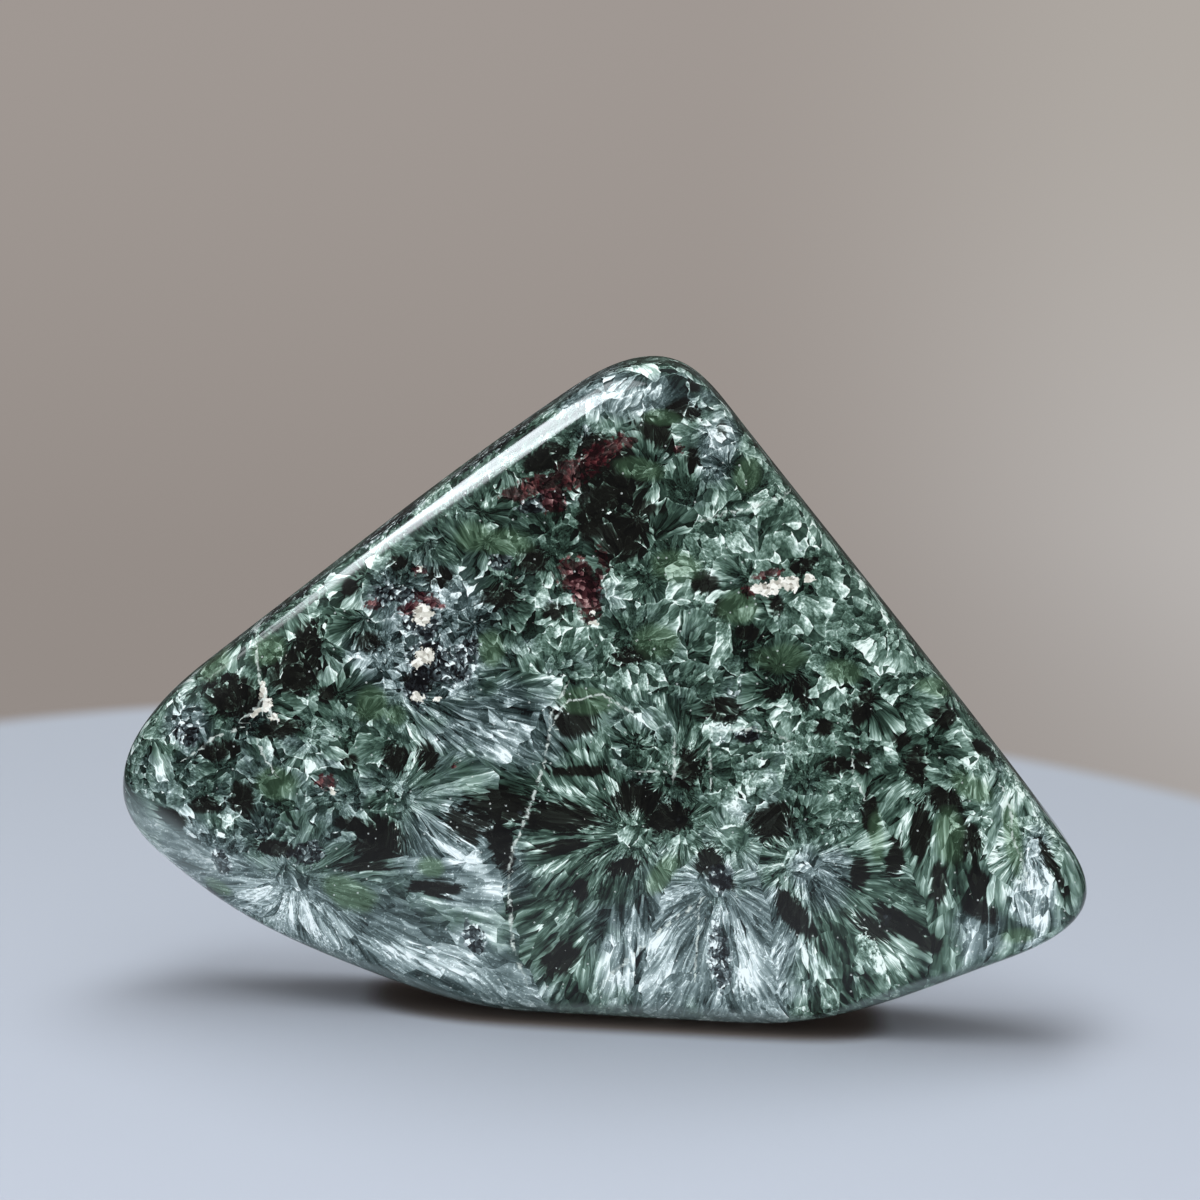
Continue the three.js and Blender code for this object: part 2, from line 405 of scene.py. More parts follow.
frontPatches = {
    "dark": [
        (-37, 32.3, 3.2, 2.4, 10), (-31.2, 35, 3, 2.6, 20), (-32.5, 29.3, 2.4, 1.3, 20),
        (-30, 38.5, 1.6, 2.2, 0), (-38.5, 26.7, 2.4, 1.2, 15), (-39.5, 21, 1.8, 1, 0),
        (-36, 22, 1.5, 2.2, 0), (-32.5, 17, 2.4, 0.9, -5), (-25, 20, 1.6, 0.9, 0),
        (-22.3, 18.5, 2.8, 2.8, 0), (-23.5, 15.7, 2.4, 0.8, 0), (-21, 27, 1.6, 1.5, 0),
        (-18, 27.2, 1.2, 1.6, 0), (-11, 22, 3.6, 2.4, 10), (-14, 20.5, 1.6, 2.2, 50),
        (-10.3, 19, 1.3, 3.2, 15), (-4, 21.8, 4, 1.6, 0), (-4.5, 18.8, 3.6, 0.7, 10),
        (3, 24, 3, 1.8, 0), (6, 22.3, 2.6, 1.7, 0), (8, 27.5, 1.6, 2.3, 0), (-3.5, 32, 2.3, 2.0, 0),
        (-2, 14.5, 0.9, 1.2, 0), (2, 17, 2, 0.9, 20), (-3.5, 7, 2.3, 1.8, 20), (11, 33.5, 2.4, 1.6, 0),
        (16.5, 22.5, 2.3, 2.3, 0), (19.5, 13, 1.2, 3.2, 35), (25.5, 17.5, 1, 1.8, 0),
        (22.5, 28.5, 1.6, 1.2, 0), (25, 29, 1, 1.3, 0), (24.5, 34.5, 1.4, 2.6, -20),
        (30.5, 29, 1.4, 2.3, 10), (32.5, 34, 1.8, 1.3, 0), (30.5, 12.3, 4, 1.1, -33),
        (33, 10.6, 1.4, 1.1, 0), (38, 14.5, 1.2, 1.6, 40), (33.5, 25.6, 2.2, 1.2, -30),
        (8.5, 46, 1.6, 1.3, 0), (-11.5, 43.7, 2.2, 1.4, 10), (-1, 54.5, 3.8, 2.6, 20),
        (0, 50.5, 3, 3, 0), (-3, 51.5, 1.6, 2, 0), (3, 60.5, 2.4, 1.5, -30), (2.4, 53.4, 2.2, 0.9, 0),
        (10.4, 43.7, 1.4, 1.1, 30), (9.2, 61, 0.7, 1.2, 0), (-1, 57.4, 2.4, 1.4, 35),
        (5.3, 63, 1.6, 1, 20), (6.6, 58, 0.9, 1.4, 0), (6.3, 62.5, 1, 1, 0), (15.5, 44, 0.9, 1.3, 0),
        (18, 48.3, 1.8, 0.9, 20), (-18, 37.5, 1.5, 1.2, 0), (-19, 34.8, 1.8, 1.2, 0),
        (-21.5, 46.5, 1.2, 0.8, 0), (-17.3, 45.3, 1.8, 1.3, 0), (13.5, 31, 1.2, 1, 0),
        (36.8, 30.8, 2, 0.7, -35), (16, 35.7, 1.6, 0.7, 30), (18.6, 36, 1, 2.2, 15),
        (13, 41.3, 1.4, 0.9, 0), (-7.5, 57.5, 2.5, 1.4, 25), (-3, 59, 2, 1, 30),
        (-8.5, 47.5, 2, 1.4, -20), (-28, 33, 1, 1, 0), (-25.5, 26.5, 1.2, 1, 0),
        (-24, 38.5, 1.5, 1.2, 20), (6.2, 65, 0.9, 0.6, -20), (10.6, 18.2, 1.4, 1.8, 0),
        (12, 16, 1.6, 0.9, -20), (-26, 43.7, 1, 1, 0), (21, 32.3, 1.4, 1, 20),
        (-43, 19.6, 2.4, 0.8, -15), (-16.5, 13.7, 3, 0.9, 0), (-2.5, 26.7, 3, 0.6, 5),
        (1.5, 38.5, 2.5, 1, 15), (28.5, 31.6, 1.2, 1, 0), (27, 12, 3, 1, -35), (33.5, 17, 1, 2.4, 0),
        (37.5, 17, 0.9, 1.8, 20), (36, 21.5, 1.6, 2.4, 20), (31.3, 22, 1, 3, 0), (29, 19.5, 0.9, 2, 0),
        (26.2, 23.6, 0.8, 2.6, 10), (44.5, 19.6, 0.6, 3, 30), (15, 60, 1, 1, 0),
        (-6, 42.5, 1.4, 1.2, 0), (-25.5, 49, 1.2, 0.9, 30),
    ],
    "bright": [
        (-28, 9.5, 4, 1.6, -25), (-16, 6, 5, 1.2, -20), (-14, 17.3, 4, 1, -38),
        (-17, 20.5, 3, 0.8, -42), (-10, 8.5, 1.2, 1.2, 0), (-9.4, 32.6, 1.6, 0.9, -30),
        (-15, 33.8, 1, 0.8, 0), (-3, 28.2, 2.4, 0.6, 0), (-3.6, 24.6, 2.4, 0.5, -5),
        (5, 9, 1.2, 3.4, -30), (15, 8, 1.2, 4, 10), (13, 12.2, 1.6, 1, -30), (-22.5, 37, 2.4, 0.9, 15),
        (-25, 36, 0.8, 1, 0), (-27.3, 29.5, 1, 0.8, 0), (-28.7, 28.6, 0.8, 1.4, 0),
        (-29.5, 26, 1.8, 0.6, 0), (2.5, 52.2, 1.5, 1.2, -20), (9, 59.5, 1.4, 2.2, 0),
        (1.5, 64.4, 1.2, 0.4, 10), (43.6, 17, 0.7, 1, 0), (42, 13.9, 2, 0.6, -15),
        (38.2, 20.3, 1.3, 0.6, -40), (29.7, 23.8, 0.6, 3, 5), (21.3, 35.5, 1.5, 0.7, 45),
        (27.5, 35.6, 1.2, 0.7, 20), (17, 33.8, 0.8, 2.2, 15), (11.5, 31.7, 2.4, 0.45, 0),
        (16.5, 31.8, 1.4, 0.4, -15), (-18, 29.3, 2.4, 0.8, -20), (-42, 32.5, 0.8, 0.6, 30),
        (-46.5, 23.5, 0.7, 2, 0), (-44.8, 24.2, 1.2, 0.4, 0), (-44.5, 15.5, 3.6, 0.5, -40),
        (-35.8, 38, 0.7, 1, 0), (-30, 48, 3, 0.6, 38), (40.5, 26, 0.8, 1.6, 0),
        (27.5, 31.2, 0.7, 0.8, 0), (-12, 15.5, 3.4, 0.7, -40), (-13, 11.8, 3, 0.5, -25),
        (-2, 41.4, 1.4, 0.3, -15), (-7, 36.5, 2.6, 0.5, -25), (-9.5, 38.5, 2.2, 0.5, -20),
        (3.5, 31.5, 1, 2, 10), (11.8, 21, 1.4, 0.7, 10), (14.5, 26.5, 2, 0.7, 40),
        (3, 20, 2.4, 0.6, -30), (-6.5, 17.8, 1.4, 0.3, 20), (12, 53.6, 3.6, 0.5, 15),
        (-11.5, 46.5, 0.9, 0.9, 0), (12.8, 43.3, 1.2, 1, 0), (0.5, 45.9, 1.4, 0.4, -5),
        (8.6, 47.3, 2.2, 0.5, -35), (-20.4, 24, 1.2, 0.9, -30), (28.7, 8.3, 1.6, 0.9, 20),
        (32.5, 7.6, 2, 0.6, 0), (-4.5, 3.8, 2, 1, 0), (22, 7, 1.5, 2, 0),
    ],
    "glow": [
        (-23.5, 32.3, 1.8, 1.8, 0), (-21, 31.3, 1.3, 1.2, 0), (-11, 49, 2.5, 1.4, 0),
        (5.5, 47.6, 2.4, 1.8, 0), (4, 40, 2.2, 1.8, 0), (-14.3, 49.5, 2, 1.6, 20),
        (16.5, 39, 2.8, 1.6, 0), (11.8, 43.8, 2.2, 1.8, 0), (34.3, 21.5, 1.6, 3.2, 10),
        (-25, 12.7, 3.4, 1.6, -22), (-12, 38.5, 1.4, 2, 0), (-2.5, 33.8, 3, 1.4, 0),
        (6, 16.5, 1.2, 2.6, -35), (27, 21.3, 0.9, 2.8, 8), (22.5, 38, 2, 1.4, 0),
        (-32.5, 23.5, 2.2, 1.8, 0), (1.5, 56.9, 2.8, 1.1, -8), (-34, 37, 2, 1.4, 30),
        (-39.7, 34.7, 2.2, 1.2, 30), (31.5, 36.8, 2.6, 0.9, -10), (36, 27, 2.4, 1.4, -35),
        (41.8, 12, 2, 1, 10), (-17, 16, 1.4, 1.2, 0), (12, 57, 1.4, 1.8, 0), (3.5, 62, 2, 0.8, 0),
        (40.5, 22, 0.9, 4, 12), (-38.3, 12.2, 1.6, 1, -30),
    ],
    "red": [
        (-1.2, 58.8, 1.6, 0.7, 50), (-2.8, 57.7, 1.8, 1.1, 35), (-5, 56.1, 2, 1.2, 25),
        (-7.8, 54.9, 2.2, 1, 10), (-6.6, 53.5, 1.1, 1.4, 20), (-10.3, 53.8, 1.4, 0.7, 0),
        (-3.6, 46, 2.2, 1.5, -25), (-2.8, 43.8, 1.1, 1.8, 15), (-2.6, 42, 0.4, 0.7, 0),
        (5.2, 59, 0.5, 0.4, 0), (-23.6, 42.2, 0.8, 0.5, 0), (-20, 42.1, 1.1, 0.5, 15),
        (-19.3, 45.8, 0.7, 0.4, 0), (-27.7, 24.1, 1, 0.7, 0), (12.8, 45.5, 0.6, 0.6, 0),
        (14.7, 47.4, 1.4, 0.35, 15), (-18.3, 43, 1.4, 0.5, -25), (0.4, 59.4, 0.7, 0.4, 20),
        (-1.5, 48, 0.5, 1.2, 20), (-15, 26.5, 0.3, 0.3, 0),
    ],
    "cream": [
        (13.8, 45.9, 1.0, 0.45, 10), (15.4, 46.3, 0.9, 0.6, 35), (16.8, 46.4, 0.9, 0.9, 0),
        (18.6, 47.1, 0.6, 0.4, 0), (14.6, 45.4, 1, 0.3, 0), (-18.8, 41.4, 1.0, 1.1, -30),
        (-18.4, 37.4, 1.0, 0.8, 20), (-19.2, 36.6, 0.5, 0.6, 0), (-18.9, 33.2, 0.8, 0.6, -10),
        (-17, 33.1, 0.4, 0.3, 0), (-27.2, 23.3, 0.45, 0.4, -40), (-1.8, 41.5, 0.9, 0.2, -15),
        (-19.2, 46, 0.4, 0.25, 0), (-2.2, 42.6, 0.25, 0.4, 0),
        # a needle of white grains that broke through a dark pool
        (-34.2, 33, 0.4, 1, 8), (-33.8, 31.6, 0.6, 0.7, 10), (-34.8, 30.8, 0.8, 0.3, 40),
        (-33, 30.4, 0.6, 0.4, -20),
    ],
    "crumb": [
        (-19, 41, 1.8, 2.2, 20), (-17.6, 37, 2.4, 2, -10), (-19, 34, 1.4, 2, 0),
        (-14.6, 37, 1.4, 2.2, -20), (-21.5, 43.3, 2.2, 0.9, 0), (-29.2, 16.4, 1.6, 1.6, 0),
        (-38, 15.3, 1, 1.6, 15), (-41.7, 28.2, 1.4, 1.4, 0), (13.6, 31.2, 1.1, 0.9, 0),
        (12.3, 8, 1.1, 4, 8), (-11.5, 47, 1.2, 0.9, 0), (12, 16.5, 1.2, 1.6, 0),
        (-12.5, 9, 1, 1.8, 20), (-8, 53, 2.4, 0.9, 20), (-3.2, 45, 1.2, 2, 15),
        # the speckled rim above the long highlight
        (-13, 58, 5, 0.8, 38), (-22.5, 50.2, 5, 0.8, 40), (-33, 41.4, 5, 0.8, 40),
    ],
    # silvery fans: pale fibres with their sheen painted in
    "silver": [
        (6, 9, 6, 7, 0), (15, 8, 5, 8, 0), (-20, 7, 16, 4, -20), (-13, 17, 6, 4, -30),
        (-18, 39, 6, 8, 0), (22, 17, 3, 3, -40), (-38, 14, 7, 2.6, -38), (43, 17, 2, 6, 0),
        (37.8, 12, 2.6, 2.6, 0), (9, 59.5, 2, 3, 0), (-10, 31, 6, 4, 0), (0, 64, 8, 2, 0),
        (-30, 47, 16, 2.4, 40), (-41.5, 29, 2, 2, 0), (-22, 37, 4, 2, 0),
    ],
    "flaky": [
        (-28, 30, 8, 8, 0), (-37, 30, 9, 9, 0), (-18, 41, 7, 8, 0), (12, 54, 8, 5, 0),
        (9, 60, 6, 7, 0), (2, 65, 8, 3, 0), (28, 33, 7, 5, 0), (13, 27, 5, 3.6, 0),
        (-41, 25, 8, 4.4, 0), (-36, 20, 6, 4, 0), (13, 39, 6, 4, 0), (-25, 22, 5, 4, 0),
        (22, 25, 3.6, 5, 0), (3, 30, 3, 4, 0), (20, 44, 5, 5, 0), (3, 52, 18, 9, 0),
        (-9, 45, 12, 6, 30), (4, 40, 12, 5, 0), (24, 39, 8, 6, -45), (33, 30, 5, 4, 0),
        (14, 33, 7, 3, 0), (-26, 41, 8, 5, 40),
    ],
    # broad paler and darker areas of the stone's tone; the paler ones at the rolled edges and at the apex
    # also hold painted reflection
    "light": [
        (-34, 11.6, 7, 2.6, -33), (-41.5, 18.4, 4, 2, -25), (-10.6, 11.5, 1.8, 3.6, 0),
        (-9.5, 29.6, 4.6, 2.2, -15), (-5, 26, 2.2, 4, 10), (6.6, 18.4, 1.8, 2.6, -20),
        (19.6, 30, 4, 1.6, 10), (25.4, 9.4, 7.5, 3.4, 22), (38, 11.4, 4.6, 2.4, 28),
        (43.6, 18, 2.6, 6, 12), (30.5, 20, 4.6, 5, 0), (19.4, 17.4, 3, 3.6, -30), (6, 7, 6.6, 3, 0),
        (18.6, 6.6, 3.4, 2.6, 0), (-17.4, 6.4, 5, 1.8, -18), (7.4, 46.6, 2.2, 3, 0),
        (7.6, 41, 2.6, 2, 30), (37.6, 28.4, 3.6, 1.8, -48), (25.4, 24, 1.8, 3.4, 0),
        (5, 61.6, 4.4, 1.6, -8), (-3, 21, 3, 0.8, 0), (12.8, 23.2, 2.6, 1.6, 0), (37, 22, 5, 6, 0),
        (40, 15, 5, 3, 30), (26, 11, 5, 5, 0), (-4.6, 28, 3, 5, 0), (0, 62, 6, 2, 0),
        (-45.6, 17.6, 3, 2, -35), (27, 23, 6, 4, 0), (11, 18, 5, 2, 0),
    ],
    "shade": [
        (-1, 53.4, 4.4, 3.8, 30), (-8, 53, 5, 2, 25), (-12.6, 46.4, 4, 2, 20),
        (19.4, 47.6, 2.6, 2.2, 30), (-10.6, 41.6, 2.8, 2, 0), (15.6, 42.2, 4.6, 2, -5),
        (-17.4, 35.6, 2.2, 2.2, 0), (26, 34.8, 3.6, 2.6, -20), (29, 30.2, 4.8, 2, 0),
        (-35.4, 30.6, 3.6, 2.6, 20), (-47, 24, 1.6, 4, 0), (7, 24.4, 2.8, 1.8, 0),
        (-25.4, 18, 4.6, 2, -8), (-17, 18.6, 2.4, 1.6, -30), (-5, 48, 3, 3, 0), (24, 31, 5, 3, 0),
        (16, 38, 7, 4, -20), (4.8, 65.4, 2, 1, -10), (-10.5, 34, 3, 1.6, -20),
    ],
    # painted reflection: a pale, cloudy sheen along stretches of the rolled edge
    "paintedSheen": [
        (9, 1.4, 15, 1.1, 0), (-21, 3.6, 12, 0.9, -17), (32, 5.6, 9, 0.8, 22),
        (-43, 16.5, 7, 2.4, -38),
    ],
}

# Centres that feathers radiate from: x, z, reach, silver, blades around, lift
frontFans = [
    (7.5, 21, 14.5, 0.25, 17, -0.02), (12.7, 20.5, 13.5, 0.75, 15, 0.05),
    (11.3, 16, 13.8, 0.75, 18, 0.08), (33, 28, 9, 0.3, 13, 0.02), (28.5, 40, 25, 0.15, 16, -0.02),
    (35, 33, 21, 0.2, 16, 0.0), (41, 33, 21.5, 0.5, 16, 0.05), (36, 24, 4.5, 0.5, 9, 0.15),
    (42, 22, 7, 0.2, 9, 0.1), (17, 38.3, 8.5, 0.1, 12, -0.05), (-9.5, 49, 6.3, 0.2, 11, -0.02),
    (5.8, 55, 4.8, 0.4, 10, 0.1), (5.5, 48, 6, 0.2, 10, 0.0), (-5, 76, 19, 0.4, 26, 0.0),
    (-31.5, 21.5, 4.2, 0.4, 10, 0.04), (-30.5, 14.2, 24, 0.85, 20, 0.06),
    (-20.5, 23, 12.5, 0.7, 15, 0.06), (-22, 34.5, 18, 0.4, 17, 0.04), (7, 27, 13.5, 0.5, 18, 0.02),
    (6.5, 41, 11, 0.4, 15, 0.0), (-13, 45, 13, 0.35, 13, 0.04), (20, 19, 14.5, 0.35, 18, -0.02),
    (3, 20.5, 17, 0.3, 15, -0.04), (19, 29, 5.5, 0.3, 10, 0.04), (-44, 32, 9, 0.5, 12, 0.0),
    (24, 46, 8, 0.3, 12, 0.0),
]

# Veins as x and z points, each with its half width
frontVeins = [
    (0.24, [(-4.5, 35), (-5.7, 32.5), (-6, 29), (-6.3, 27), (-7, 24.5), (-7.8, 21.5), (-9, 18), (-9.3, 15),
            (-8.8, 11), (-8.5, 8), (-7, 4.5)]),
    (0.3, [(8, 52.3), (12, 53.5), (15.8, 55)]),
    (0.2, [(-36.5, 29), (-39, 28), (-41.5, 25.8)]),
    (0.16, [(10, 29.5), (10.2, 26)]),
    (0.2, [(6.5, 30), (6.6, 26.5)]),
    (0.12, [(3, 26.9), (6.5, 27.2)]),
    (0.14, [(9.9, 14), (9.9, 6)]),
    (0.3, [(9.9, 14), (5, 9.4), (0.5, 4.5)]),
    (0.26, [(10, 31.5), (14, 31.8), (17.5, 31)]),
    (0.18, [(-5.8, 31), (-4.5, 33.5), (-1, 34.5), (2, 33)]),
    (0.2, [(-35.4, 38), (-34.8, 35.4), (-34.3, 33.2)]),
    (0.24, [(-34.3, 33.4), (-34, 31.8), (-33, 30.4)]),
    (0.2, [(-34.2, 32.2), (-34.8, 31.2), (-35.8, 30.4)]),
    (0.14, [(-35, 29), (-34, 26.5), (-32.8, 24.7)]),
    (0.2, [(39, 27), (40, 25), (40.5, 22), (41.5, 20), (42.5, 17)]),
    (0.18, [(24, 29.5), (24.3, 27.5), (25.3, 25.8)]),
]


# The hidden side grew in the same way, with a pattern of its own

backPatches = {
    "dark": [
        (-40, 26, 2.4, 1.6, 20), (-34, 30, 2, 2.6, 0), (-33, 20, 1.4, 2.8, 30),
        (-26, 27, 2.6, 1.6, -20), (-25, 40, 2, 1.4, 30), (-17, 38, 2.2, 2.6, 0), (-14, 26, 3, 1.6, 20),
        (-20, 9, 1.4, 3, 40), (-8, 20, 1.8, 2.8, -20), (-6, 42, 2.6, 1.6, 0), (-9, 57, 2, 1.2, 30),
        (1, 50, 3.4, 2.4, 0), (2, 33, 2, 2.6, 30), (4, 22, 3, 1.6, 0), (7, 61, 1.6, 1.4, 0),
        (12, 48, 2.4, 1.4, -30), (11, 30, 2, 2, 0), (15, 14, 1.2, 3.4, -30), (19, 35, 3, 1.6, 0),
        (22, 20, 2.2, 2.2, 0), (29, 30, 1.8, 2.8, 30), (31, 14, 3, 1, -20), (37, 26, 2.4, 1.2, -40),
        (40, 15, 1.2, 2.6, 0), (-1, 6, 1, 2.6, 10),
    ],
    "bright": [
        (-38, 18, 4, 0.8, -40), (-28, 12, 4, 1.4, -30), (-22, 32, 2, 0.8, 30), (-12, 12, 1.4, 4, 20),
        (-3, 15, 1.2, 4, 0), (6, 8, 1.6, 4, -10), (13, 24, 2.6, 0.7, 20), (26, 12, 4, 1.2, 20),
        (34, 20, 0.8, 3, 20), (7, 44, 2, 0.8, -30), (-2, 64, 3, 0.8, 10), (-15, 47, 3, 0.6, 40),
    ],
    "glow": [
        (-30, 25, 2, 2.6, 0), (-12, 34, 2.6, 1.8, 0), (-3, 54, 2.4, 1.6, 0), (8, 36, 1.8, 2.6, 20),
        (16, 42, 2.4, 1.4, -30), (26, 24, 2, 2.8, 0), (-17, 17, 3, 1.4, -30), (36, 13, 2.4, 1.4, 20),
    ],
    "red": [(4, 53, 2, 0.8, 30), (6, 51, 1.2, 1.4, 0), (-27, 33, 1.4, 0.8, -20), (17, 29, 0.9, 0.5, 0)],
    "cream": [(5, 54, 0.9, 0.4, 20), (-28, 32, 0.8, 0.6, 0), (24, 37, 0.7, 0.5, 0)],
    "crumb": [(-27, 32, 2.4, 3, 0), (5, 50, 2, 2, 0), (20, 28, 1.6, 1.4, 0)],
    "silver": [
        (0, 9, 12, 7, 0), (-30, 13, 12, 4, -30), (28, 10, 10, 5, 20), (-4, 62, 8, 4, 0),
        (-15, 48, 12, 2.4, 40),
    ],
    "flaky": [
        (-32, 32, 8, 6, 30), (-8, 50, 10, 8, 0), (12, 50, 8, 7, -40), (4, 36, 9, 6, 0),
        (26, 34, 9, 6, -40), (20, 22, 5, 4, 0), (-22, 22, 6, 4, 0), (-42, 22, 4, 5, 0),
        (2, 62, 8, 5, 0), (40, 22, 4, 5, -30),
    ],
    "light": [
        (-34, 14, 8, 3, -30), (0, 8, 8, 4, 0), (28, 9, 8, 3, 20), (-20, 33, 4, 3, 0),
        (15, 26, 5, 2, 0), (42, 18, 3, 5, 10),
    ],
    "shade": [
        (1, 50, 5, 4, 0), (-14, 38, 5, 3, 0), (20, 35, 5, 3, 0), (-8, 22, 4, 3, 0), (30, 28, 4, 3, 0),
    ],
    # painted reflection along the rolled edge
    "paintedSheen": [(4, 1.4, 14, 1.1, 0), (-26, 5.4, 12, 1, -22)],
}

backFans = [
    (-20, 18, 17, 0.5, 17, 0.0), (-36, 24, 11, 0.3, 13, -0.02), (-28, 36, 9, 0.2, 12, 0.0),
    (-8, 30, 15, 0.3, 16, -0.02), (-12, 52, 10, 0.4, 12, 0.02), (4, 58, 12, 0.3, 14, 0.0),
    (10, 40, 14, 0.2, 16, -0.03), (3, 14, 16, 0.8, 18, 0.04), (22, 26, 14, 0.35, 15, 0.0),
    (24, 12, 13, 0.6, 16, 0.04), (38, 22, 12, 0.4, 13, 0.0), (29, 41, 9, 0.3, 12, 0.0),
]

backVeins = [
    (0.24, [(12, 42), (13, 36), (11, 31), (13, 25), (12, 18), (14, 10)]),
    (0.2, [(-36, 31), (-30, 27), (-24, 26), (-19, 22)]),
    (0.26, [(-10, 18), (-14, 10), (-13, 4)]),
]


def distanceToLine(across, up, points):
    # nearest distance to a run of straight stretches, and which side it is on
    nearest = np.full(len(across), 1e6)
    side = np.ones(len(across))
    for (x0, z0), (x1, z1) in zip(points, points[1:]):
        dx, dz = x1 - x0, z1 - z0
        along = np.clip(((across - x0) * dx + (up - z0) * dz) / (dx * dx + dz * dz), 0, 1)
        offX, offZ = across - x0 - along * dx, up - z0 - along * dz
        distance = np.hypot(offX, offZ)
        closer = distance < nearest
        nearest = np.where(closer, distance, nearest)
        side = np.where(closer, np.sign(dx * offZ - dz * offX), side)
    return nearest, side


def paintPatches(across, up, patches):
    # 1 in the core of a patch, falling through a half at its edge
    core = 0.35
    fall = 1.3
    value = np.zeros(len(across))
    for x, z, length, height, tilt in patches:
        turn = math.radians(tilt)
        u = ((across - x) * math.cos(turn) + (up - z) * math.sin(turn)) / length
        w = ((up - z) * math.cos(turn) - (across - x) * math.sin(turn)) / height
        reach = np.clip((np.hypot(u, w) - core) / fall, 0, 1)
        value = np.maximum(value, 1 - reach * reach * (3 - 2 * reach))
    return value


def storeField(stone, name, columns):
    field = stone.data.attributes.new(name, "FLOAT_VECTOR", "POINT")
    values = np.stack(columns, axis=1).astype(np.float32)
    field.data.foreach_set("vector", values.ravel())


def paintStone(stone):
    count = len(stone.data.vertices)
    points = np.empty(count * 3)
    stone.data.vertices.foreach_get("co", points)
    points = points.reshape(-1, 3) / mm
    across, depth, up = points.T
    seam = seraphinite["seam"]
    front = np.clip((seam - depth) / seam, 0, 1)
    mask = {}
    for name in frontPatches:
        display = paintPatches(across, up, frontPatches[name])
        hidden = paintPatches(across, up, backPatches[name])
        mask[name] = display * front + hidden * (1 - front)
    storeField(stone, "tones", [mask["dark"], mask["bright"], mask["glow"]])
    storeField(stone, "stains", [mask["red"], mask["cream"], mask["crumb"]])
    farAway = 3.0
    nearest = np.full(count, farAway)
    side = np.ones(count)
    for veins, here in ((frontVeins, depth < 0), (backVeins, depth > seam)):
        for halfWidth, line in veins:
            distance, lineSide = distanceToLine(across, up, line)
            distance = distance + seraphinite["veinEdge"] - halfWidth
            closer = (distance < nearest) & here
            nearest = np.where(closer, distance, nearest)
            side = np.where(closer, lineSide, side)
    # the third column carries the painted reflection of the rolled edge
    storeField(stone, "veins", [nearest * side, nearest, mask["paintedSheen"]])
    storeField(stone, "grain", [mask["silver"], mask["flaky"], mask["light"] - mask["shade"]])
    print("masks painted")


# The finish of the stone

seraphinite = {
    "seam": 3.0,            # mm behind the middle plane where the display side's patches end
    "facePlane": 6.8,       # mm from the middle plane to where the fans lie
    "swirl": 3.0,           # mm that the fans' borders wander
    "raggedness": 2.2,
    "fanSpread": 1.5,       # how far past its reach a fan may still run
    "chanceFan": 8.5,       # mm between fans that no list places
    "sheafTurn": 0.75,      # how far a bundle leans off the line from the centre
    # how many stand side by side round a fan's centre
    "sheaves": 5.0,
    "fibres": 27.0,
    "hairs": 18.0,
    "sectors": 3.4,
    # how much each of them swings the tone of a fan
    "bladeSwing": 0.24,
    "slantSwing": 0.3,
    "fibreSwing": 1.3,
    "hairSwing": 0.22,
    "sectorSwing": 1.1,
    # loose flakes and crumbs: mm across, and how much each of their layers adds to the tone
    "flakeSize": 3.7,
    "flakeTint": 0.18,
    "flakeSwing": 0.35,
    "flakeSlant": 0.28,
    "flakeGrain": 0.8,
    "flakeOpening": 0.1,
    "flakeRim": 0.24,
    "crumbSize": 0.42,
    "crumbSwing": 0.75,
    "crumbSlant": 0.35,
    "veinEdge": 0.3,        # mm from the painted line to the edge of every vein
    "speckSize": 0.8,       # mm between bright specks
    # where each kind of patch starts and where it is full
    "flakyFrom": (0.42, 0.58),
    "crumbFrom": (0.45, 0.6),
    "poolFrom": (0.34, 0.76),
    "brightFrom": (0.2, 1.0),
    "silverFrom": (0.1, 0.8),
    "glowFrom": (0.3, 0.9),
    "rustFrom": (0.12, 0.5),
    "creamFrom": (0.5, 0.62),
    "sheenFrom": (0.1, 0.9),
    # how strongly each colour lies over the ones below it
    "silverStrength": 0.85,
    "poolStrength": 0.85,
    "glowStrength": 0.85,
    "crumbStrength": 0.8,
    "rustStrength": 0.9,
    "veinStrength": 0.85,
    "speckStrength": 0.6,
    "sheenStrength": 0.5,
    "veinColour": (208, 220, 214),
    "speckColour": (190, 200, 198),
    "sheenColour": (112, 126, 127),
    # the stone under the polish, and the polish
    "roughness": 0.45,
    "polishRoughness": 0.1,
    "polishIndex": 1.42,
}


def makeNextFan():
    group, given, result = newGroup(
        "next_fan",
        {"Place": "NodeSocketVector", "Best Score": "NodeSocketFloat", "Best Centre": "NodeSocketVector",
         "Best Look": "NodeSocketVector", "Fan Centre": "NodeSocketVector", "Fan Reach": "NodeSocketFloat",
         "Fan Look": "NodeSocketVector"},
        {"Score": "NodeSocketFloat", "Centre": "NodeSocketVector", "Look": "NodeSocketVector"})
    # a fan lies in its own face, so depth counts double
    offset = vectors(group, "SUBTRACT", given["Place"], given["Fan Centre"])
    offset = vectors(group, "MULTIPLY", offset, (1, 2, 1))
    score = maths(group, "DIVIDE", vectors(group, "LENGTH", offset), given["Fan Reach"])
    nearer = maths(group, "LESS_THAN", score, given["Best Score"])
    plug(group, maths(group, "MINIMUM", score, given["Best Score"]), result["Score"])
    plug(group, blend(group, nearer, given["Best Centre"], given["Fan Centre"], "VECTOR"), result["Centre"])
    plug(group, blend(group, nearer, given["Best Look"], given["Fan Look"], "VECTOR"), result["Look"])
    return group


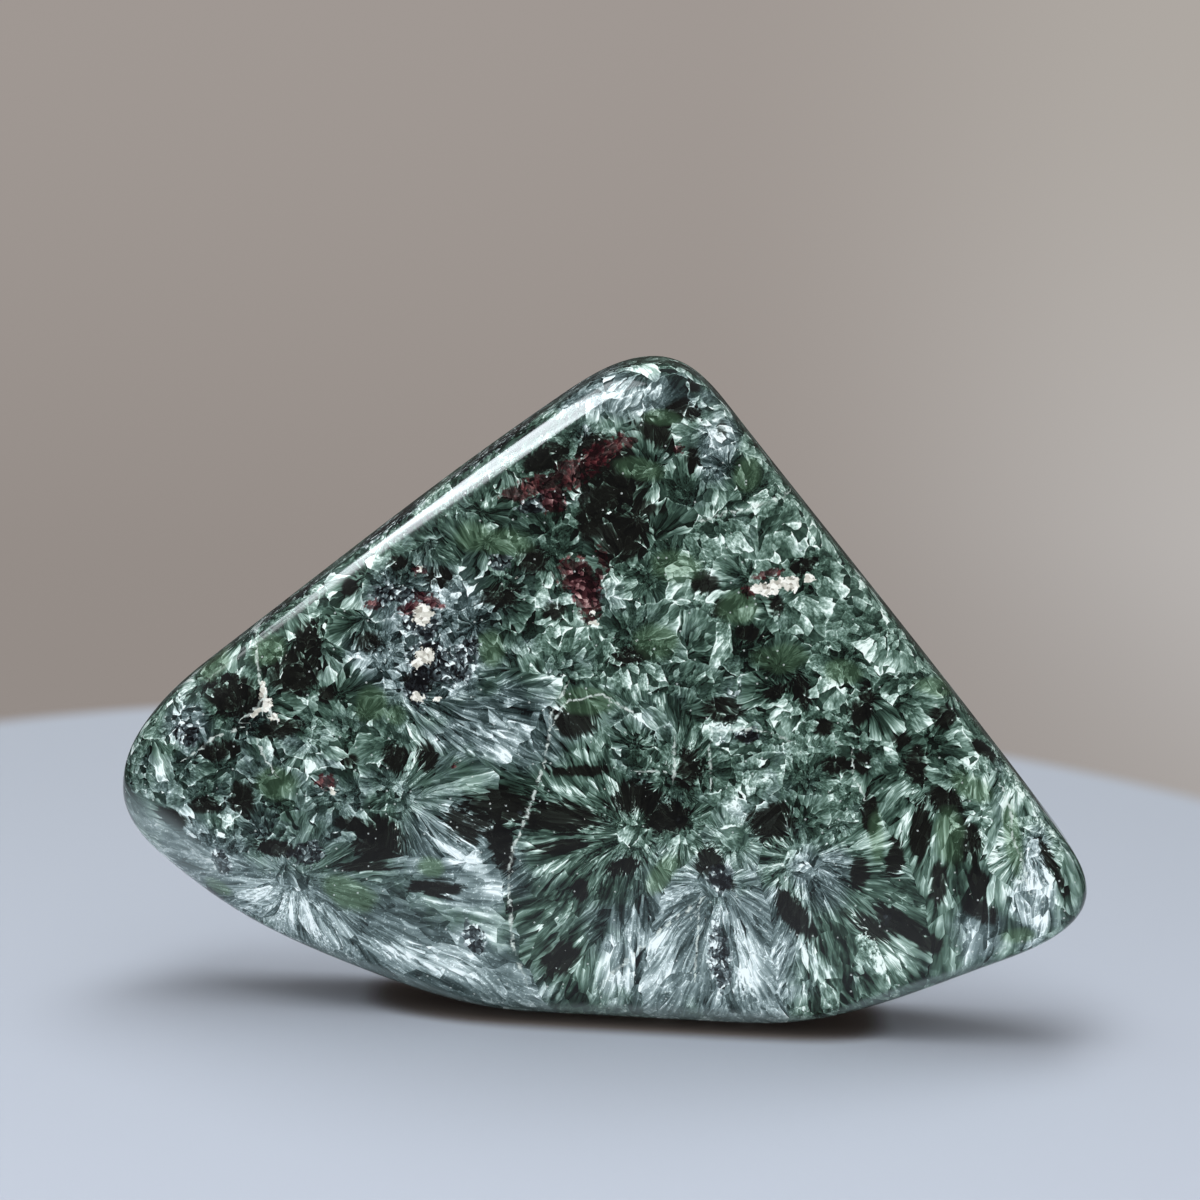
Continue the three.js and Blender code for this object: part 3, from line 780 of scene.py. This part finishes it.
def makeFeather():
    # Turns a place round a centre into one where blades stand side by side
    group, given, result = newGroup(
        "feather", {"Place": "NodeSocketVector", "Centre": "NodeSocketVector", "Around": "NodeSocketFloat",
                    "Along": "NodeSocketFloat"},
        {"Vector": "NodeSocketVector", "Away": "NodeSocketFloat"})
    spoke = vectors(group, "SUBTRACT", given["Place"], given["Centre"])
    away = vectors(group, "LENGTH", spoke)
    plug(group, away, result["Away"])
    stretch = maths(group, "MULTIPLY_ADD", away, given["Along"], given["Around"])
    spread = vectors(group, "SCALE", vectors(group, "NORMALIZE", spoke), scale=stretch)
    # every centre reads a part of the pattern that no other one reads
    ownPart = vectors(group, "SCALE", given["Centre"], scale=0.37)
    plug(group, vectors(group, "ADD", spread, ownPart), result["Vector"])
    return group


def makeFacets():
    # Slanting facets: each cell has a tone of its own and shades from one side to the other
    group, given, result = newGroup(
        "facets", {"Vector": "NodeSocketVector"},
        {"Tone": "NodeSocketFloat", "Slant": "NodeSocketFloat", "Chance": "NodeSocketFloat"})
    cell = cellsOf(group, given["Vector"])
    chance = vectors(group, "SUBTRACT", cell["Color"], (0.5, 0.5, 0.5))
    inside = vectors(group, "SUBTRACT", given["Vector"], cell["Position"])
    plug(group, vectors(group, "DOT_PRODUCT", inside, vectors(group, "NORMALIZE", chance)), result["Slant"])
    colour = parts(group, cell["Color"])
    plug(group, colour["X"], result["Tone"])
    plug(group, colour["Y"], result["Chance"])
    return group


def fieldOf(tree, name):
    return parts(tree, putNode(tree, "ShaderNodeAttribute", {"attribute_name": name}).outputs["Vector"])


# Colours from the darkest tone to the brightest, 0 to 255

greenTones = [
    (0.0, (12, 14, 13)), (0.16, (19, 28, 23)), (0.34, (39, 56, 48)), (0.52, (67, 91, 80)),
    (0.68, (108, 134, 123)), (0.82, (153, 178, 168)), (0.93, (203, 224, 217)), (1.0, (228, 241, 236)),
]
# the silvery colours also carry the fibres' painted sheen
silverTones = [
    (0.0, (12, 13, 15)), (0.16, (21, 28, 29)), (0.34, (44, 57, 58)), (0.52, (77, 92, 95)),
    (0.68, (118, 135, 138)), (0.82, (163, 179, 182)), (0.93, (208, 223, 226)), (1.0, (232, 242, 244)),
]
poolTones = [
    (0.0, (13, 13, 13)), (0.2, (22, 21, 19)), (0.4, (36, 37, 33)), (0.7, (84, 92, 85)),
    (1.0, (172, 184, 177)),
]
purpleTones = [
    (0.0, (13, 13, 15)), (0.35, (33, 36, 40)), (0.6, (72, 82, 86)), (0.85, (142, 156, 159)),
    (1.0, (224, 235, 235)),
]
redTones = [
    (0.0, (15, 9, 10)), (0.25, (38, 15, 19)), (0.5, (68, 26, 31)), (0.8, (128, 74, 74)),
    (1.0, (214, 182, 176)),
]
creamTones = [(0.0, (48, 45, 40)), (0.25, (140, 136, 124)), (0.6, (202, 202, 191)), (1.0, (238, 239, 232))]
glowTones = [(0.0, (20, 28, 21)), (0.4, (50, 71, 53)), (0.7, (88, 114, 92)), (1.0, (160, 190, 168))]


def addLayers(tree, value, layers):
    # each layer counts by its weight
    for layer, weight in layers:
        value = maths(tree, "MULTIPLY_ADD", layer, weight, value)
    return value


def layOver(tree, mask, strength, below, above):
    return blend(tree, maths(tree, "MULTIPLY", mask, strength), below, above, "RGBA")


def makeSeraphinite():
    material, tree, shader = newMaterial("polished_seraphinite")
    look = seraphinite
    place = vectors(tree, "SCALE", putNode(tree, "ShaderNodeTexCoord").outputs["Object"], scale=1 / mm)
    half = (0.5, 0.5, 0.5)
    broadSwirl = vectors(tree, "SUBTRACT", noiseOf(tree, place, 0.10, 1.0, output="Color"), half)
    fineSwirl = vectors(tree, "SUBTRACT", noiseOf(tree, place, 0.5, 2.0, output="Color"), half)
    broadSwirl = vectors(tree, "SCALE", broadSwirl, scale=look["swirl"])
    fineSwirl = vectors(tree, "SCALE", fineSwirl, scale=look["raggedness"])
    wandering = vectors(tree, "ADD", place, vectors(tree, "ADD", broadSwirl, fineSwirl))
    bent = vectors(tree, "MULTIPLY_ADD", broadSwirl, (0.6, 0.6, 0.6), place)
    bent = vectors(tree, "MULTIPLY_ADD", fineSwirl, (0.16, 0.16, 0.16), bent)
    crumpled = vectors(tree, "MULTIPLY_ADD", fineSwirl, (0.6, 0.6, 0.6), place)

    # which fan a place belongs to, starting from fans left to chance
    chanceFan = cellsOf(tree, wandering, 1 / look["chanceFan"])
    thrown = vectors(tree, "SUBTRACT", chanceFan["Color"], half)
    thrown = vectors(tree, "SCALE", thrown, scale=look["chanceFan"])
    score = look["fanSpread"]
    centre = vectors(tree, "ADD", chanceFan["Position"], thrown)
    fanLook = vectors(tree, "MULTIPLY_ADD", chanceFan["Color"], (0.9, 8.0, 0.2), (0.0, 9.0, -0.1))
    nextFan = makeNextFan()
    for plane, fans in ((-look["facePlane"], frontFans), (look["facePlane"], backFans)):
        for x, z, reach, silver, blades, lift in fans:
            best = putGroup(tree, nextFan, Place=wandering,
                            Best_Score=score, Best_Centre=centre, Best_Look=fanLook,
                            Fan_Centre=(x, plane, z), Fan_Reach=reach, Fan_Look=(silver, blades, lift))
            score, centre, fanLook = best["Score"], best["Centre"], best["Look"]
    fanSilver, fanBlades, fanLift = parts(tree, fanLook)

    # a fan is bundles of blades, and the blades of a bundle lean off the line from the centre
    feather = makeFeather()
    facets = makeFacets()
    sheafPlace = putGroup(tree, feather, Place=bent, Centre=centre, Around=look["sheaves"], Along=0.2)
    sheaf = cellsOf(tree, sheafPlace["Vector"])
    lean = maths(tree, "MINIMUM", sheafPlace["Away"], 9.0)
    lean = maths(tree, "MULTIPLY_ADD", lean, look["sheafTurn"], 2.0)
    leaning = vectors(tree, "SCALE", vectors(tree, "SUBTRACT", sheaf["Color"], half), scale=lean)
    leaning = vectors(tree, "ADD", centre, leaning)
    bladePlace = putGroup(tree, feather, Place=bent, Centre=leaning, Around=fanBlades, Along=0.26)
    blade = putGroup(tree, facets, Vector=bladePlace["Vector"])
    fibrePlace = putGroup(tree, feather, Place=bent, Centre=leaning, Around=look["fibres"], Along=0.2)
    fibre = maths(tree, "SUBTRACT", noiseOf(tree, fibrePlace["Vector"], 1.0, 2.5, 0.6), 0.5)
    fibre = maths(tree, "MULTIPLY", fibre, soften(tree, fibrePlace["Away"], 0.0, 3.0))
    hairPlace = putGroup(tree, feather, Place=bent, Centre=leaning, Around=look["hairs"], Along=0.3)
    hairNoise = noiseOf(tree, hairPlace["Vector"], 1.0, 1.0)
    offHair = maths(tree, "ABSOLUTE", maths(tree, "SUBTRACT", hairNoise, 0.56))
    hair = maths(tree, "SUBTRACT", 1, soften(tree, offHair, 0.0, 0.035))
    # broad sectors round each centre lighten and darken whole stretches of a fan: painted sheen of fibres
    # that catch the light
    sectorPlace = putGroup(tree, feather, Place=bent, Centre=centre, Around=look["sectors"], Along=0.22)
    sector = noiseOf(tree, sectorPlace["Vector"], 1.0, 2.0)
    hair = maths(tree, "MULTIPLY", hair, soften(tree, sector, 0.38, 0.62))
    sector = maths(tree, "SUBTRACT", sector, 0.5)
    swing = addLayers(tree, -look["bladeSwing"] / 2, (
        (blade["Tone"], look["bladeSwing"]), (blade["Slant"], look["slantSwing"]),
        (fibre, look["fibreSwing"]), (hair, look["hairSwing"]), (sector, look["sectorSwing"])))
    contrast = maths(tree, "MULTIPLY_ADD", fanSilver, -0.55, 1.0)
    sheafTone = maths(tree, "MULTIPLY_ADD", parts(tree, sheaf["Color"])["Y"], 0.34, 0.31)
    featherTone = maths(tree, "MULTIPLY_ADD", swing, contrast, sheafTone)
    featherTone = maths(tree, "ADD", featherTone, fanLift)

    # loose flakes: each opens from a point of its own, dark there and bright at its rim
    flakeCell = cellsOf(tree, crumpled, 1 / look["flakeSize"])
    flakeChance = vectors(tree, "SUBTRACT", flakeCell["Color"], half)
    flakeCentre = vectors(tree, "ADD", flakeCell["Position"],
                          vectors(tree, "SCALE", flakeChance, scale=look["flakeSize"] * 1.3))
    flakePlace = putGroup(tree, feather, Place=crumpled, Centre=flakeCentre, Around=3.4, Along=0.3)
    flake = putGroup(tree, facets, Vector=flakePlace["Vector"])
    flakeFibre = putGroup(tree, feather, Place=bent, Centre=flakeCentre, Around=14.0, Along=0.5)
    flakeGrain = maths(tree, "SUBTRACT", noiseOf(tree, flakeFibre["Vector"], 1.0, 2.0, 0.6), 0.5)
    flakeTint = parts(tree, flakeCell["Color"])["Z"]
    flakeFacet = maths(tree, "POWER", flake["Tone"], 1.3)
    flakeAway = maths(tree, "MINIMUM", flakePlace["Away"], 4.0)
    rim = cellsOf(tree, crumpled, 1 / look["flakeSize"], "DISTANCE_TO_EDGE")["Distance"]
    rimLine = maths(tree, "SUBTRACT", 1, soften(tree, rim, 0.0, 0.05))
    rimLine = maths(tree, "MULTIPLY", rimLine, soften(tree, flake["Chance"], 0.4, 1.0))
    flakeTone = addLayers(tree, 0.0, (
        (flakeTint, look["flakeTint"]), (flakeFacet, look["flakeSwing"]),
        (flake["Slant"], look["flakeSlant"]), (flakeGrain, look["flakeGrain"]),
        (flakeAway, look["flakeOpening"]), (rimLine, look["flakeRim"])))
    gap = maths(tree, "LESS_THAN", flake["Chance"], 0.16)
    flakeTone = maths(tree, "MULTIPLY", flakeTone, maths(tree, "MULTIPLY_ADD", gap, -0.45, 1))

    tones = fieldOf(tree, "tones")
    stains = fieldOf(tree, "stains")
    grain = fieldOf(tree, "grain")
    veins = fieldOf(tree, "veins")
    patchyShift = maths(tree, "SUBTRACT", noiseOf(tree, place, 0.35, 3.0, 0.6), 0.5)
    # loose flakes also hide the middle of every fan, so none is a perfect star
    nearCentre = maths(tree, "SUBTRACT", 1, soften(tree, sheafPlace["Away"], 0.5, 3.0))
    loose = maths(tree, "MAXIMUM", grain["Y"], nearCentre)
    flaky = soften(tree, maths(tree, "MULTIPLY_ADD", patchyShift, 1.1, loose), *look["flakyFrom"])
    tone = blend(tree, flaky, featherTone, flakeTone)
    # broad paler and darker areas move the tone; near the rolled edges and the apex this is partly painted
    # reflection
    tone = maths(tree, "MULTIPLY_ADD", grain["Z"], 0.15, tone)

    # crumbs
    crumbPlace = vectors(tree, "SCALE", crumpled, scale=1 / look["crumbSize"])
    crumbCell = putGroup(tree, facets, Vector=crumbPlace)
    crumbFacet = maths(tree, "POWER", crumbCell["Tone"], 2.5)
    crumbTone = addLayers(tree, -0.14, (
        (crumbFacet, look["crumbSwing"]), (crumbCell["Slant"], look["crumbSlant"]), (tone, 0.7)))
    crumbShift = addLayers(tree, -0.25, ((crumbCell["Tone"], 0.5), (patchyShift, 1.6)))
    crumbly = soften(tree, maths(tree, "ADD", stains["Z"], crumbShift), *look["crumbFrom"])
    tone = blend(tree, crumbly, tone, crumbTone)

    # dark pools whose borders follow the blades, then bright streaks
    flakeShift = maths(tree, "MULTIPLY_ADD", flakeTone, -0.7, 0.22)
    shapeShift = blend(tree, flaky, maths(tree, "MULTIPLY", swing, -0.9), flakeShift)
    shapeShift = maths(tree, "MULTIPLY_ADD", patchyShift, 0.9, shapeShift)
    darkness = soften(tree, maths(tree, "ADD", tones["X"], shapeShift), *look["poolFrom"])
    tone = maths(tree, "MULTIPLY", tone, maths(tree, "MULTIPLY_ADD", darkness, -0.6, 1))
    lit = soften(tree, maths(tree, "SUBTRACT", tones["Y"], shapeShift), *look["brightFrom"])
    tone = maths(tree, "MULTIPLY_ADD", lit, 0.2, tone)

    # colour; the silvery fans are the fibres' pale colour with their silky sheen painted in, and painted
    # glints brighten them
    silverShift = maths(tree, "MULTIPLY_ADD", fanSilver, 0.5, maths(tree, "MULTIPLY", grain["X"], 0.7))
    silver = soften(tree, maths(tree, "MULTIPLY_ADD", patchyShift, 1.2, silverShift), *look["silverFrom"])
    # painted glints in the silvery fans
    sparkle = soften(tree, noiseOf(tree, place, 3.6, 2.0, 0.7), 0.56, 0.7)
    tone = maths(tree, "MULTIPLY_ADD", maths(tree, "MULTIPLY", sparkle, silver), 0.2, tone)
    green = rampOf(tree, tone, greenTones)
    colour = layOver(tree, silver, look["silverStrength"], green, rampOf(tree, tone, silverTones))
    colour = layOver(tree, darkness, look["poolStrength"], colour, rampOf(tree, tone, poolTones))
    glow = soften(tree, maths(tree, "MULTIPLY_ADD", patchyShift, 1.2, tones["Z"]), *look["glowFrom"])
    glowTone = maths(tree, "MULTIPLY_ADD", tone, 0.8, 0.18)
    colour = layOver(tree, glow, look["glowStrength"], colour, rampOf(tree, glowTone, glowTones))
    colour = layOver(tree, crumbly, look["crumbStrength"], colour, rampOf(tree, tone, purpleTones))

    # red and cream stains
    stainShift = maths(tree, "SUBTRACT", noiseOf(tree, place, 1.7, 3.0, 0.7), 0.5)
    stainShift = maths(tree, "MULTIPLY", stainShift, 2.2)
    rustShift = addLayers(tree, -0.4, ((crumbCell["Chance"], 0.7), (stainShift, 0.6)))
    rust = soften(tree, maths(tree, "ADD", stains["X"], rustShift), *look["rustFrom"])
    rust = maths(tree, "MULTIPLY", rust, soften(tree, stains["X"], 0.03, 0.25))
    rustTone = maths(tree, "MULTIPLY_ADD", crumbTone, 0.55, maths(tree, "MULTIPLY", tone, 0.2))
    colour = layOver(tree, rust, look["rustStrength"], colour, rampOf(tree, rustTone, redTones))
    chalk = soften(tree, maths(tree, "ADD", stains["Y"], stainShift), *look["creamFrom"])
    chalkTone = maths(tree, "MULTIPLY_ADD", maths(tree, "SUBTRACT", crumbCell["Tone"], 0.5), 0.7, 0.68)
    chalkTone = maths(tree, "MULTIPLY_ADD", stainShift, 0.35, chalkTone)
    colour = blend(tree, chalk, colour, rampOf(tree, chalkTone, creamTones), "RGBA")

    # veins
    wander = maths(tree, "SUBTRACT", noiseOf(tree, place, 1.1, 3.0, 0.7), 0.5)
    wander = maths(tree, "MULTIPLY", wander, 1.1)
    nearLine = maths(tree, "LESS_THAN", veins["Y"], 0.9)
    offLine = maths(tree, "ABSOLUTE", maths(tree, "ADD", veins["X"], wander))
    onLine = maths(tree, "SUBTRACT", 1, soften(tree, offLine, 0.04, look["veinEdge"]))
    vein = maths(tree, "MULTIPLY", nearLine, onLine)
    broken = maths(tree, "MULTIPLY", vein, soften(tree, crumbCell["Chance"], 0.1, 1.0))
    colour = layOver(tree, broken, look["veinStrength"], colour, screenColour(look["veinColour"]))

    # bright specks
    speck = cellsOf(tree, place, 1 / look["speckSize"])
    dot = maths(tree, "LESS_THAN", speck["Distance"], 0.13)
    chosen = maths(tree, "GREATER_THAN", parts(tree, speck["Color"])["X"], 0.72)
    dot = maths(tree, "MULTIPLY", dot, chosen)
    colour = layOver(tree, dot, look["speckStrength"], colour, screenColour(look["speckColour"]))

    # painted reflection: a pale, cloudy sheen over stretches of the rolled edge
    sheenMask = soften(tree, veins["Z"], *look["sheenFrom"])
    colour = layOver(tree, sheenMask, look["sheenStrength"], colour, screenColour(look["sheenColour"]))

    plug(tree, colour, shader["Base Color"])
    shader["Roughness"].default_value = look["roughness"]
    shader["Specular IOR Level"].default_value = 0.0
    shader["Coat Weight"].default_value = 1.0
    shader["Coat IOR"].default_value = look["polishIndex"]
    shader["Coat Roughness"].default_value = look["polishRoughness"]
    print("finish made")
    return material


makeRoom()
makeLights()
makeCamera()
stone = makeStone()
paintStone(stone)
stone.data.materials.append(makeSeraphinite())
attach(stone, "root")
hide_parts("seraphinite_plate")
